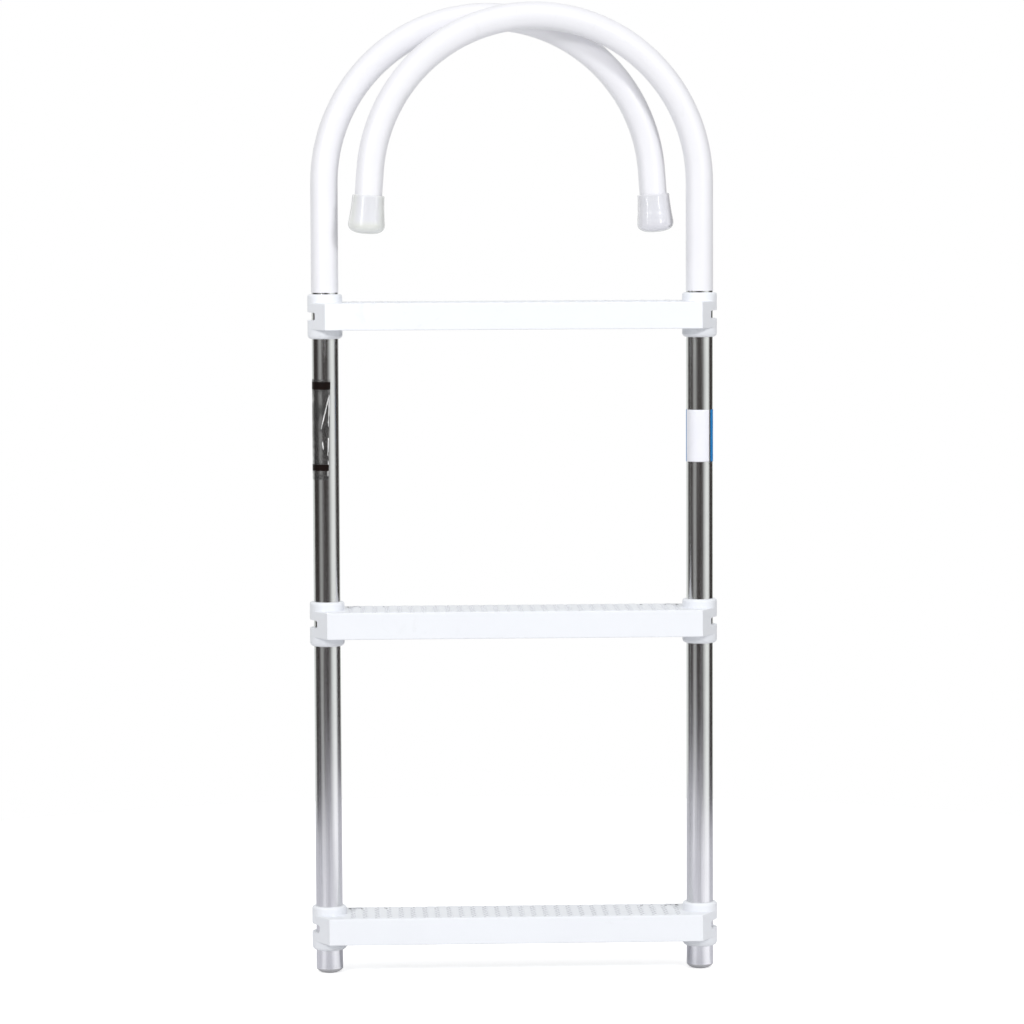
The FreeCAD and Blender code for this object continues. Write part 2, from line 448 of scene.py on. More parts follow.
def step_plastic(name, colour, shade):
    material, tree, shader = new_material(name, IOR=1.49, Specular_IOR_Level=0.4)
    tint = place_group(tree, TINT, Colour=colour, Shade=shade, Scale=14.0, Amount=0.6)
    scuffs = place_group(tree, SCUFFS, Scale=45.0, Stretch=1.0, Amount=0.4)["Scuffs"]
    unshaded = mixed(tree, scuffs, tint["Colour"], STEP_SCUFF)
    # the shade of the drains is painted into the colour here
    put(tree, mixed(tree, drain_shade(tree), unshaded, DRAIN_SHADE), shader["Base Color"])
    satin = between(tree, tint["Mask"], *STEP_ROUGHNESS)
    put(tree, sums(tree, "MULTIPLY_ADD", scuffs, STEP_SCUFF_DULLS, satin), shader["Roughness"])
    waves = bump(tree, place_group(tree, GRAIN, Scale=42.0)["Grain"], 0.12 * MM, 0.5)
    grain = place_group(tree, GRAIN, Scale=1500.0)["Grain"]
    put(tree, bump(tree, grain, 0.03 * MM, 0.5, waves), shader["Normal"])
    return material


dress(step_plastic("step_plastic", STEP_WHITE, STEP_SHADE), *step_names)

# %% [markdown]
# The tubes are drawn aluminium with a clear anodised skin. Bare metal shows little of its own colour: it
# shows the room, in upright bands. Blender can smear such bands with an anisotropic shader. Here the lines
# that the die left are real relief instead, which does the same and still shows close up, so the roughness
# itself stays low.

# %% Tube aluminium
TUBE_BRIGHT = rgb(0.83, 0.83, 0.835)
TUBE_DULL = rgb(0.77, 0.77, 0.78)
TUBE_STREAK = rgb(0.70, 0.70, 0.72)
STREAK_EDGES = (0.45, 0.7)
STREAK_SHARE = 0.35
LINE_EDGES = (0.3, 0.7)
TUBE_ROUGHNESS = (0.16, 0.26)
TUBE_SCUFF_DULLS = 0.15


def tube_aluminium():
    material, tree, shader = new_material("tube_aluminium", Metallic=1.0)
    fine = place_group(tree, LINES, Scale=1500.0, Stretch=0.004)["Lines"]
    broad = place_group(tree, LINES, Scale=420.0, Stretch=0.01)["Lines"]
    scuffs = place_group(tree, SCUFFS, Scale=120.0, Stretch=0.08, Amount=0.8)["Scuffs"]
    tint = place_group(tree, TINT, Colour=TUBE_BRIGHT, Shade=TUBE_DULL, Scale=30.0, Amount=0.5)
    streaks = ramp(tree, broad, *STREAK_EDGES, 0.0, STREAK_SHARE)
    put(tree, mixed(tree, streaks, tint["Colour"], TUBE_STREAK), shader["Base Color"])
    polish = ramp(tree, fine, *LINE_EDGES, *TUBE_ROUGHNESS)
    put(tree, sums(tree, "MULTIPLY_ADD", scuffs, TUBE_SCUFF_DULLS, polish), shader["Roughness"])
    under = bump(tree, broad, 0.04 * MM, 0.35)
    put(tree, bump(tree, fine, 0.02 * MM, 0.5, under), shader["Normal"])
    return material


dress(tube_aluminium(), "left_tube", "right_tube")

# %% [markdown]
# A white vinyl sleeve is stretched over the hooks so that they don't mark the boat. It is smoother and
# shinier than the steps, a shade more lilac, and pulled tight enough to show only a slow ripple. The same
# groups as for the steps make it, with other sizes, because the two differ by degree and not in kind.

# %% Sleeve vinyl
SLEEVE_WHITE = rgb(0.85, 0.85, 0.885)
SLEEVE_SHADE = rgb(0.815, 0.815, 0.855)
SLEEVE_SCUFF = rgb(0.77, 0.77, 0.79)
SLEEVE_ROUGHNESS = (0.28, 0.36)


def sleeve_vinyl():
    material, tree, shader = new_material("sleeve_vinyl", IOR=1.53, Specular_IOR_Level=0.45)
    tint = place_group(tree, TINT, Colour=SLEEVE_WHITE, Shade=SLEEVE_SHADE, Scale=18.0, Amount=0.5)
    scuffs = place_group(tree, SCUFFS, Scale=70.0, Stretch=0.6, Amount=0.45)["Scuffs"]
    put(tree, mixed(tree, scuffs, tint["Colour"], SLEEVE_SCUFF), shader["Base Color"])
    put(tree, between(tree, tint["Mask"], *SLEEVE_ROUGHNESS), shader["Roughness"])
    ripple = bump(tree, place_group(tree, GRAIN, Scale=60.0)["Grain"], 0.15 * MM, 0.5)
    peel = place_group(tree, GRAIN, Scale=520.0)["Grain"]
    put(tree, bump(tree, peel, 0.03 * MM, 0.4, ripple), shader["Normal"])
    return material


dress(sleeve_vinyl(), "left_hook_sleeve", "right_hook_sleeve")

# %% [markdown]
# The caps are moulded in a soft, milky vinyl. Light goes a little way in and comes out again nearby, which
# is subsurface scattering. Clear vinyl over a modelled sleeve would need real transmission, which is slow
# and noisy, so the colours do that part. The wall is a faint lilac, from the sleeve inside, and the solid
# foot has the vinyl's own colour. The rim, as seen from anywhere, looks milkiest, because there the eye
# looks through the most vinyl, and Layer Weight finds it. One cap is a touch greener than the other.

# %% Colour of the cap vinyl
CAP_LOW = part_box("left_hook_cap")[0].z
CAP_SOLID_EDGES = (14 * MM, 7 * MM)
CAP_WALL = rgb(0.715, 0.72, 0.765)
CAP_WALL_SHADE = rgb(0.70, 0.71, 0.735)
# the right hook's cap first, then the left hook's
CAP_FOOT = (rgb(0.72, 0.735, 0.71), rgb(0.70, 0.70, 0.745))
CAP_RIM = (rgb(0.81, 0.825, 0.81), rgb(0.80, 0.80, 0.84))
CAP_RIM_EDGES = (0.08, 0.45)


def cap_colour(tree, wall, side, height):
    """The wall's colour with the foot and the rim over it, each with its tint for either side."""
    solid = ramp(tree, height, *(CAP_LOW + edge for edge in CAP_SOLID_EDGES))
    facing = add(tree, "ShaderNodeLayerWeight", {"Blend": 0.5}).outputs["Facing"]
    rim = ramp(tree, facing, *CAP_RIM_EDGES)
    body = mixed(tree, solid, wall, mixed(tree, side, *CAP_FOOT))
    return mixed(tree, rim, body, mixed(tree, side, *CAP_RIM))


print("caps from", round(CAP_LOW, 4), "up")

# %% [markdown]
# The caps shine more than any other plastic piece. A clear coat over the milky vinyl gives them their sharp
# streaks of light, where a smoother base alone would have lost the milkiness. Soft vinyl is never quite
# true, so slight rings break up the streaks on one cap. The two caps are told apart by their side of the
# middle.

# %% Cap vinyl
CAP_ROUGHNESS = (0.3, 0.4)
CAP_COAT = (1.0, 0.8)
SIDE_EDGES = (-50 * MM, 50 * MM)
RING_STRETCH = 9.0


def cap_vinyl():
    material, tree, shader = new_material(
        "cap_vinyl", IOR=1.46, Subsurface_Weight=0.35, Subsurface_Scale=0.004,
        Subsurface_Radius=(1.0, 1.0, 1.0), Coat_Roughness=0.10, Coat_IOR=1.5)
    x, _, z = split(tree, place_on(tree))
    side = ramp(tree, x, *SIDE_EDGES)
    tint = place_group(tree, TINT, Colour=CAP_WALL, Shade=CAP_WALL_SHADE, Scale=40.0, Amount=0.5)
    put(tree, cap_colour(tree, tint["Colour"], side, z), shader["Base Color"])
    put(tree, between(tree, tint["Mask"], *CAP_ROUGHNESS), shader["Roughness"])
    put(tree, between(tree, tint["Mask"], *CAP_COAT), shader["Coat Weight"])
    rings = sums(tree, "MULTIPLY", noise(tree, stretched_place(tree, RING_STRETCH), 14.0, 1.0), side)
    soft = place_group(tree, GRAIN, Scale=160.0)["Grain"]
    fine = place_group(tree, GRAIN, Scale=1400.0)["Grain"]
    under = bump(tree, rings, 0.9 * MM, 1.0)
    under = bump(tree, soft, 0.10 * MM, 0.4, under)
    put(tree, bump(tree, fine, 0.02 * MM, 0.25, under), shader["Normal"])
    return material


CAP_VINYL = cap_vinyl()
print("material:", CAP_VINYL.name)

# %% [markdown]
# The plugs that close the feet are a plain grey plastic, scuffed where they have stood. They are small and
# low in the picture, so the shared groups are enough, with more scuffs than anywhere else.

# %% Plug plastic
PLUG_GREY = rgb(0.50, 0.50, 0.52)
PLUG_SHADE = rgb(0.44, 0.44, 0.46)
PLUG_ROUGHNESS = (0.35, 0.6)


def plug_plastic():
    material, tree, shader = new_material("plug_plastic", IOR=1.5)
    tint = place_group(tree, TINT, Colour=PLUG_GREY, Shade=PLUG_SHADE, Scale=60.0, Amount=0.6)
    scuffs = place_group(tree, SCUFFS, Scale=160.0, Stretch=1.0, Amount=0.8)["Scuffs"]
    put(tree, mixed(tree, scuffs, tint["Colour"], grey(0.62)), shader["Base Color"])
    put(tree, between(tree, scuffs, *PLUG_ROUGHNESS), shader["Roughness"])
    grain = place_group(tree, GRAIN, Scale=1600.0)["Grain"]
    put(tree, bump(tree, grain, 0.03 * MM, 0.5), shader["Normal"])
    return material


dress(plug_plastic(), "left_foot_plug", "right_foot_plug")

# %% [markdown]
# Some pieces are too small or too thin for the engineering model. A mesh for one is drawn in a bmesh, which
# is Blender's workbench for points and faces, and then laid down as an object. Each such piece rides on a
# body, so that it turns with it.

# %% A new piece


def new_piece(name, mesh, material, body):
    """A smooth piece from a bmesh, with its finish and the body it rides on."""
    data = bpy.data.meshes.new(name)
    mesh.normal_update()
    mesh.to_mesh(data)
    mesh.free()
    for face in data.polygons:
        face.use_smooth = True
    piece = bpy.data.objects.new(name, data)
    bpy.context.scene.collection.objects.link(piece)
    data.materials.append(material)
    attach(piece, body)
    return piece


print("helper for new pieces ready")

# %% [markdown]
# Between the raised bands of each tread lie small studs that give grip. A bump pattern could hint at them,
# but their sides catch light and show from low down, so they are real. One stud is a long rounded pad: a
# few rings of corners over one another, smaller towards the top, and closed at the top and at the bottom.

# %% One stud
STUD_LENGTH = 4.0 * MM
STUD_WIDTH = 2.0 * MM
STUD_HEIGHT = 0.45 * MM
STUD_SINK = 0.1 * MM
STUD_SIDES = 12
# share of the stud's half size, and height over the tread, at its foot, shoulder, edge and crown
STUD_RINGS = ((1.0, -STUD_SINK), (1.0, 0.45 * STUD_HEIGHT), (0.82, 0.85 * STUD_HEIGHT), (0.5, STUD_HEIGHT))


def stud_ring(mesh, x, y, z, share):
    """Corners of a long round: a circle whose two halves are drawn apart."""
    ring = []
    for k in range(STUD_SIDES):
        turn = 2 * math.pi * k / STUD_SIDES
        dx = math.cos(turn) * STUD_WIDTH / 2 * share
        dy = math.sin(turn) * STUD_WIDTH / 2 * share
        dy += math.copysign((STUD_LENGTH - STUD_WIDTH) / 2, math.sin(turn))
        ring.append(mesh.verts.new((x + dx, y + dy, z)))
    return ring


def add_stud(mesh, x, y, z):
    rings = [stud_ring(mesh, x, y, z + height, share) for share, height in STUD_RINGS]
    for lower, upper in zip(rings, rings[1:]):
        for k in range(STUD_SIDES):
            n = (k + 1) % STUD_SIDES
            mesh.faces.new((lower[k], lower[n], upper[n], upper[k]))
    mesh.faces.new(rings[-1])
    mesh.faces.new(list(reversed(rings[0])))


print("corners on a stud:", STUD_SIDES * len(STUD_RINGS))

# %% [markdown]
# The studs stand in two columns in each groove, half a pitch apart, and none hangs over a drain. An array
# modifier could repeat one, but it can't leave out the few at the drains. So three loops, over the grooves,
# the columns and the rows, list the places, which are the same on every tread.

# %% Places of the studs
GROOVES = 28
BAND_PITCH = 11.5 * MM
STUD_COLUMN = 1.15 * MM
STUD_ROWS = 6
STUD_PITCH = 9.4 * MM
DRAIN_HALF = 1.5 * MM
DRAIN_CLEAR = DRAIN_HALF + STUD_LENGTH / 2 + 0.4 * MM


def over_drain(x, y):
    """Whether a stud here would hang over the slot or the small hole at the rear of the tread."""
    beside = any(near - STUD_WIDTH < abs(x) < far + STUD_WIDTH for near, far in (SLOT_SPAN, HOLE_SPAN))
    return beside and abs(y - DRAIN_LINE) < DRAIN_CLEAR


def list_stud_places():
    """Places of the studs of one tread, seen from above."""
    places = []
    for groove in range(GROOVES):
        for side in (-1, 1):
            x = (groove - (GROOVES - 1) / 2) * BAND_PITCH + side * STUD_COLUMN
            for row in range(STUD_ROWS):
                y = (row - (STUD_ROWS - 1) / 2) * STUD_PITCH + side * STUD_PITCH / 4
                if not over_drain(x, y):
                    places.append((x, y))
    return places


stud_places = list_stud_places()
print("studs on a tread:", len(stud_places))

# %% [markdown]
# Nearly a thousand objects would be slow to handle, so all the studs of a step are one mesh. Their grey is
# painted shade, for the shade that falls round them, and the lower the step, the greyer they are. That shade
# could be painted on the tread as a texture, but a colour for the studs does it more simply.

# %% Tread studs
# greyer colours that paint the shade round the studs, darker the lower the step
STUD_SHADED_COLOURS = {
    "top_step": (rgb(0.82, 0.84, 0.88), rgb(0.78, 0.80, 0.84)),
    "middle_step": (rgb(0.72, 0.735, 0.77), rgb(0.67, 0.685, 0.72)),
    "bottom_step": (rgb(0.64, 0.655, 0.69), rgb(0.58, 0.595, 0.63)),
}


def tread_studs(step):
    mesh = bmesh.new()
    for x, y in stud_places:
        add_stud(mesh, x, y, tread_level[step])
    plastic = step_plastic("stud_plastic_" + step.removesuffix("_step"), *STUD_SHADED_COLOURS[step])
    piece = new_piece(step + "_studs", mesh, plastic, "steps")
    print(piece.name, "in", plastic.name)


for step in step_names:
    tread_studs(step)

# %% [markdown]
# The soft caps stand in for plainer solids of the engineering model, whose foot is a little more pointed.
# A cap could be sculpted, but it is round, so its outline is enough: a list of radii and heights above its
# foot. The foot bulges like a superellipse, which is fuller than a circle, the wall flares towards it, and
# the lip is rounded. Inside, the outline goes down the bore to the solid floor.

# %% Outline of a cap
CAP_HEIGHT = 36.2 * MM
CAP_FOOT_RADIUS = 17.35 * MM
CAP_FOOT_HEIGHT = 9.3 * MM
CAP_FULLNESS = 2.65
CAP_FLARE = 1.6
CAP_LIP_RADIUS = 15.2 * MM
CAP_LIP_ROUND = 0.8 * MM
CAP_BORE = 13.0 * MM
CAP_FLOOR = 13.4 * MM
FOOT_PARTS = 16
WALL_PARTS = 12
LIP_PARTS = 4


def cap_outline():
    """Radius and height of each ring, from the middle of the foot, over the outside, to the middle of the
    floor."""
    rings = []
    for k in range(FOOT_PARTS + 1):
        turn = math.pi / 2 * k / FOOT_PARTS
        rings.append((CAP_FOOT_RADIUS * math.sin(turn) ** (2 / CAP_FULLNESS),
                      CAP_FOOT_HEIGHT * (1 - math.cos(turn) ** (2 / CAP_FULLNESS))))
    for k in range(1, WALL_PARTS + 1):
        share = k / WALL_PARTS
        rings.append((CAP_LIP_RADIUS + (CAP_FOOT_RADIUS - CAP_LIP_RADIUS) * (1 - share) ** CAP_FLARE,
                      CAP_FOOT_HEIGHT + (CAP_HEIGHT - CAP_LIP_ROUND - CAP_FOOT_HEIGHT) * share))
    for k in range(1, LIP_PARTS + 1):
        turn = math.pi / 2 * k / LIP_PARTS
        rings.append((CAP_LIP_RADIUS - CAP_LIP_ROUND * (1 - math.cos(turn)),
                      CAP_HEIGHT - CAP_LIP_ROUND * (1 - math.sin(turn))))
    return rings + [(CAP_BORE, CAP_HEIGHT), (CAP_BORE, CAP_FLOOR), (0.0, CAP_FLOOR)]


print("rings on a cap:", len(cap_outline()))

# %% [markdown]
# Blender's Screw modifier can turn an outline as a lathe does. Here the rings are laid and joined by hand,
# because that takes few lines, keeps the two ends closed with plain triangles and shows what a lathe does.

# %% Lathe


def turned_mesh(outline, sides):
    mesh = bmesh.new()
    rings = []
    for radius, height in outline:
        corners = sides if radius > 0 else 1
        turns = [2 * math.pi * k / sides for k in range(corners)]
        rings.append([mesh.verts.new((radius * math.cos(a), radius * math.sin(a), height)) for a in turns])
    for low, high in zip(rings, rings[1:]):
        for k in range(sides):
            n = (k + 1) % sides
            corners = [low[k % len(low)], low[n % len(low)], high[n % len(high)], high[k % len(high)]]
            mesh.faces.new(list(dict.fromkeys(corners)))
    return mesh


print("lathe ready")

# %% [markdown]
# The hooks don't come down quite plumb, and they are folded a few degrees off the ladder's plane. So each
# cap is leaned, moved out to the end of its hook and turned about its tube. Three matrices in a row say
# just that, and the same three serve both hooks, because the right one is the left one turned half round.

# %% Hook caps
CAP_SIDES = 96
CAP_FOOT_LEVEL = -191.2 * MM
# from the axis of the tube to the middle of the cap's foot
HOOK_REACH = 317.69 * MM
HOOK_LEAN = math.radians(4.2)
HOOK_FOLD = math.radians(5)


def hook_cap(node, body, heading):
    mesh = turned_mesh(cap_outline(), CAP_SIDES)
    lean = Matrix.Rotation(-HOOK_LEAN, 4, "Y")
    out = Matrix.Translation((HOOK_REACH, 0, CAP_FOOT_LEVEL))
    fold = Matrix.Translation((axis_x[body], 0, 0)) @ Matrix.Rotation(heading, 4, "Z")
    bmesh.ops.transform(mesh, matrix=fold @ out @ lean, verts=mesh.verts)
    piece = new_piece(node.replace("hook_cap", "soft_cap"), mesh, CAP_VINYL, body)
    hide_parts(node)
    print(piece.name, "stands for", node)


hook_cap("left_hook_cap", "left_rail", HOOK_FOLD)
hook_cap("right_hook_cap", "right_rail", math.pi + HOOK_FOLD)

# %% [markdown]
# Each tube carries one stick-on label below the top step. The left one is a clear film with two dark bands,
# the right one a white and blue wrap. The film is a Principled shader whose alpha lets most of the tube
# through. Glass would bend the light, which film this thin doesn't. The inks are satin and cover the tube.

# %% Label finishes
FILM_ROUGHNESS = (0.12, 0.22)
INK_ROUGHNESS = (0.3, 0.4)


def film_material(name, colour, shade, clear, cloudy):
    """Thin film in a colour, with how much it covers in its clear parts and in its cloudy ones."""
    material, tree, shader = new_material(name, IOR=1.5, Specular_IOR_Level=0.6)
    tint = place_group(tree, TINT, Colour=colour, Shade=shade, Scale=90.0, Amount=0.8)
    put(tree, tint["Colour"], shader["Base Color"])
    put(tree, between(tree, tint["Mask"], *FILM_ROUGHNESS), shader["Roughness"])
    put(tree, between(tree, tint["Mask"], clear, cloudy), shader["Alpha"])
    put(tree, bump(tree, place_group(tree, GRAIN, Scale=300.0)["Grain"], 0.05 * MM, 0.5), shader["Normal"])
    return material


def ink_material(name, colour, shade, gloss=0.5):
    material, tree, shader = new_material(name, IOR=1.5, Specular_IOR_Level=gloss)
    tint = place_group(tree, TINT, Colour=colour, Shade=shade, Scale=120.0, Amount=0.7)
    put(tree, tint["Colour"], shader["Base Color"])
    put(tree, between(tree, tint["Mask"], *INK_ROUGHNESS), shader["Roughness"])
    put(tree, bump(tree, place_group(tree, GRAIN, Scale=1100.0)["Grain"], 0.02 * MM, 0.4), shader["Normal"])
    return material


LABEL_FILM = film_material("label_film", grey(0.10), grey(0.05), 0.12, 0.34)
# white film on the crests of the creases: a painted glint
CREASE_GLINT_FILM = film_material("label_crease_glint", grey(0.95), grey(0.85), 0.9, 0.5)
BAND_INK = ink_material("label_band_ink", rgb(0.012, 0.007, 0.006), rgb(0.006, 0.005, 0.005), 0.1)
WRAP_WHITE = ink_material("label_wrap_white", rgb(0.87, 0.875, 0.93), rgb(0.84, 0.85, 0.91))
WRAP_BLUE = ink_material("label_wrap_blue", rgb(0.018, 0.25, 0.62), rgb(0.015, 0.2, 0.54), 0.2)
print("label finishes ready")

# %% [markdown]
# A label could be a second material on the tube itself. A sheet of its own has an edge, a thickness and
# creases, and can stand a hair off the metal. It is drawn as a grid in turns round the tube and heights
# along it, and each face picks its ink by where it lies.

# %% Label sheets
TUBE_RADIUS = 12.7 * MM
LABEL_GAP = 0.04 * MM
SHEET_TURN = math.radians(2)
SHEET_ROW = 1.2 * MM


def on_tube(body, turn, z, out):
    """Point round a tube, with the turn in degrees from the front towards +X."""
    angle = math.radians(turn)
    radius = TUBE_RADIUS + out
    return (axis_x[body] + radius * math.sin(angle), -radius * math.cos(angle), z)


def label_sheet(body, turns, heights, lift, inks, lean=0.0):
    """A sheet bent round a tube. lift raises it in places, and inks chooses a material for each face. lean
    is how many degrees further to the left its right edge stands at the foot than at the head."""
    across = max(2, round(math.radians(turns[1] - turns[0]) / SHEET_TURN))
    up = max(2, round((heights[1] - heights[0]) / SHEET_ROW))

    def turn_at(i):
        return turns[0] + (turns[1] - turns[0]) * i / across

    def height_at(j):
        return heights[0] + (heights[1] - heights[0]) * j / up

    mesh = bmesh.new()
    grid = []
    for j in range(up + 1):
        row = []
        for i in range(across + 1):
            leaned = turn_at(i) + lean * (0.5 - j / up) * (turn_at(i) - turns[0]) / (turns[0] - turns[1])
            out = LABEL_GAP + lift(turn_at(i), height_at(j))
            row.append(mesh.verts.new(on_tube(body, leaned, height_at(j), out)))
        grid.append(row)
    for j in range(up):
        for i in range(across):
            face = mesh.faces.new((grid[j][i], grid[j][i + 1], grid[j + 1][i + 1], grid[j + 1][i]))
            face.material_index = inks(turn_at(i + 0.5), height_at(j + 0.5))
    return mesh


print("label sheets are drawn in steps of", round(SHEET_ROW / MM, 1), "mm")

# %% [markdown]
# A grid has no thickness. Its second side and its edges could be laid face by face, but a Solidify modifier
# does that from one number, outwards, so that the inner side stays where the grid was.

# %% Thickness of a label
LABEL_THICKNESS = 0.12 * MM


def finish_label(name, mesh, materials, body):
    piece = new_piece(name, mesh, materials[0], body)
    for material in materials[1:]:
        piece.data.materials.append(material)
    skin = piece.modifiers.new("thickness", "SOLIDIFY")
    skin.thickness = LABEL_THICKNESS
    skin.offset = 1
    print(name, len(piece.data.polygons), "faces")


print("labels are", round(LABEL_THICKNESS / MM, 2), "mm thick")

# %% [markdown]
# The clear film goes from behind the left tube to just past its front, and its free edge isn't quite
# upright. Where it was stuck down it trapped a few creases, which catch the light. A crease could be a
# normal map, but as a low ridge in the sheet it also shows at the edge, and its crest gets a whiter film as
# a painted glint.

# %% Clear film on the left tube
FILM_TOP = top_collar_foot - 38 * MM
FILM_BOTTOM = top_collar_foot - 133 * MM
FILM_TURNS = (-150, 16)
FILM_LEAN = 12
FILM_BANDS = ((top_collar_foot - 48 * MM, top_collar_foot - 41 * MM),
              (top_collar_foot - 124.5 * MM, top_collar_foot - 118 * MM))
CREASE_HEIGHT = 0.3 * MM
CREASE_WIDTH = 2.2
CREASE_CREST = 0.45
CREASES = (
    # turn at its head and at its foot, then where each lies, as a share of the film from its top
    (15.0, -22.0, 0.12, 0.52),
    (13.0, 10.0, 0.14, 0.50),
    (12.0, 11.0, 0.56, 0.78),
    (14.0, 12.5, 0.80, 0.97),
    (-14.0, -8.0, 0.62, 0.70),
)


def film_lift(turn, z):
    """How far the creases raise the film: one leans across it and the others are short or near its edge."""
    share = (FILM_TOP - z) / (FILM_TOP - FILM_BOTTOM)
    lift = 0.0
    for head_turn, foot_turn, head, foot in CREASES:
        if head < share < foot:
            done = (share - head) / (foot - head)
            middle = head_turn + (foot_turn - head_turn) * done
            fade = math.sin(math.pi * done) ** 0.5
            lift = max(lift, fade * math.exp(-((turn - middle) / CREASE_WIDTH) ** 2))
    return CREASE_HEIGHT * lift


def film_ink(turn, z):
    """0 for the film, 1 for a band, 2 for the crest of a crease, whose whiter film is a painted glint."""
    if any(low < z < high for low, high in FILM_BANDS):
        return 1
    return 2 if film_lift(turn, z) > CREASE_CREST * CREASE_HEIGHT else 0


film = label_sheet("left_rail", FILM_TURNS, (FILM_BOTTOM, FILM_TOP), film_lift, film_ink, FILM_LEAN)
finish_label("left_label", film, [LABEL_FILM, BAND_INK, CREASE_GLINT_FILM], "left_rail")

# %% [markdown]
# The wrap goes almost all the way round the right tube, smooth and tight, with a narrow strip of metal
# between its two ends. Its front part is white and the rest is blue. One sheet with two inks keeps the line
# between them sharp, where two sheets would need to meet without a gap.

# %% White and blue wrap on the right tube
WRAP_TOP = top_collar_foot - 69 * MM
WRAP_BOTTOM = top_collar_foot - 118.5 * MM
WRAP_TURNS = (-309, 40)
WRAP_WHITE_FROM = -76


def no_lift(turn, z):
    return 0.0


def wrap_ink(turn, z):
    """0 for white, 1 for blue."""
    return 0 if turn > WRAP_WHITE_FROM else 1


wrap = label_sheet("right_rail", WRAP_TURNS, (WRAP_BOTTOM, WRAP_TOP), no_lift, wrap_ink)
finish_label("right_label", wrap, [WRAP_WHITE, WRAP_BLUE], "right_rail")

# %% [markdown]
# Bare metal mirrors the studio, so the studio decides the bands on the tubes. Round the ladder it has a dim
# panel at the front left, a wide bright one at the front right, dark ends at both sides and a white backdrop
# behind. It could be built from walls, but walls would hide the ladder from behind, so it is painted by
# direction. One group turns a direction into how bright the studio is that way, and it is used twice: for
# the walls in the world and for the light that those walls throw on the floor.

# %% Brightness of the studio by direction
ROOM_DARK = rgb(0.040, 0.034, 0.031)
PANEL_TINT = rgb(0.97, 1.0, 0.97)
# headings in degrees, from the front towards +X, where each side of the backdrop begins and is full
BACKDROP_LEFT = (-113, -133)
BACKDROP_RIGHT = (132, 150)
BACKDROP_LEVEL = 0.80
PANELS = (
    # headings where a panel begins, where it is full from and to, and where it ends, then how bright it is
    (-72, -54, -42, -24, 0.28),
    (12, 58, 76, 94, 0.88),
)


def studio_group():
    inputs = [("Way", "NodeSocketVector", (0.0, -1.0, 0.0))]
    tree, given, result = new_group("studio_bands", inputs, [("Colour", COLOUR), ("Level", FLOAT)])
    x, y, _ = split(tree, given["Way"])
    forward = sums(tree, "MULTIPLY", y, -1.0)
    heading = sums(tree, "DEGREES", sums(tree, "ARCTAN2", x, forward))
    left = ramp(tree, heading, *BACKDROP_LEFT, 0.0, BACKDROP_LEVEL)
    right = ramp(tree, heading, *BACKDROP_RIGHT, 0.0, BACKDROP_LEVEL)
    level = sums(tree, "ADD", left, right)
    for start, full_from, full_to, end, brightness in PANELS:
        rise = ramp(tree, heading, start, full_from)
        fall = ramp(tree, heading, end, full_to, 0.0, brightness)
        level = sums(tree, "MULTIPLY_ADD", rise, fall, level)
    put(tree, mixed(tree, level, ROOM_DARK, PANEL_TINT), result["Colour"])
    put(tree, level, result["Level"])
    return tree


STUDIO = studio_group()
print("panels in the studio:", len(PANELS))

# %% [markdown]
# Several surfaces here have to look one way to the camera and another way in a mirror. The Light Path node
# knows which of the two is asking. A ray that was mirrored or went through something counts as a mirror.

# %% Who is looking


def who_looks(tree):
    """Two masks: the camera, and a mirror or a clear sheet."""
    path = add(tree, "ShaderNodeLightPath").outputs
    return path["Is Camera Ray"], sums(tree, "MAXIMUM", path["Is Glossy Ray"], path["Is Transmission Ray"])


print("helper for the light path ready")

# %% [markdown]
# The tubes mirror the floor too, and with it the light that the studio's panels throw on it. A real panel
# would have to stand there as a lamp, which lights the ladder as well. So the floor looks up how bright the
# studio is in the direction that leads away from the nearer foot, or, farther off, away from the middle.
# Only mirrors will see this light.

# %% Light of the panels on the floor
FLOOR_SHINE = 0.02
FLOOR_BANDS = 0.46
FOOT_NEAR = 0.30
FOOT_FAR = 0.60
FRONT_EDGES = (0.05, -0.02)


def floor_shine(tree):
    """Light that the panels throw on the floor, as the tubes mirror it."""
    place = place_on(tree)
    x, y, _ = split(tree, place)
    foot = sums(tree, "MULTIPLY", sums(tree, "SIGN", x), axis_x["right_rail"])
    away = add(tree, "ShaderNodeVectorMath", {0: place}, operation="LENGTH").outputs["Value"]
    shift = sums(tree, "MULTIPLY", foot, ramp(tree, away, FOOT_FAR, FOOT_NEAR))
    from_foot = add(tree, "ShaderNodeCombineXYZ", {0: sums(tree, "SUBTRACT", x, shift), 1: y}).outputs[0]
    bands = sums(tree, "SQRT", place_group(tree, STUDIO, Way=from_foot)["Level"])
    in_front = ramp(tree, y, *FRONT_EDGES, 0.0, FLOOR_BANDS)
    return sums(tree, "MULTIPLY_ADD", bands, in_front, FLOOR_SHINE)


print("bands spread from each foot as far as", FOOT_FAR, "m")

# %% [markdown]
# The floor is a round white sheet under the feet. It is lit like the ladder and so it keeps its shadow, but
# on a photograph such a floor is burnt out to white. Stronger lamps would burn out the ladder too, so the
# floor has a little light of its own that only the camera sees. Seen from below the sheet is clear, so that
# it doesn't hide the undersides of the steps.

# %% Floor
FLOOR_RADIUS = 1.12
FLOOR_SIDES = 96
FLOOR_WHITE = grey(0.80)
FLOOR_MIRRORED = rgb(0.66, 0.66, 0.72)
FLOOR_GLOW = 0.56


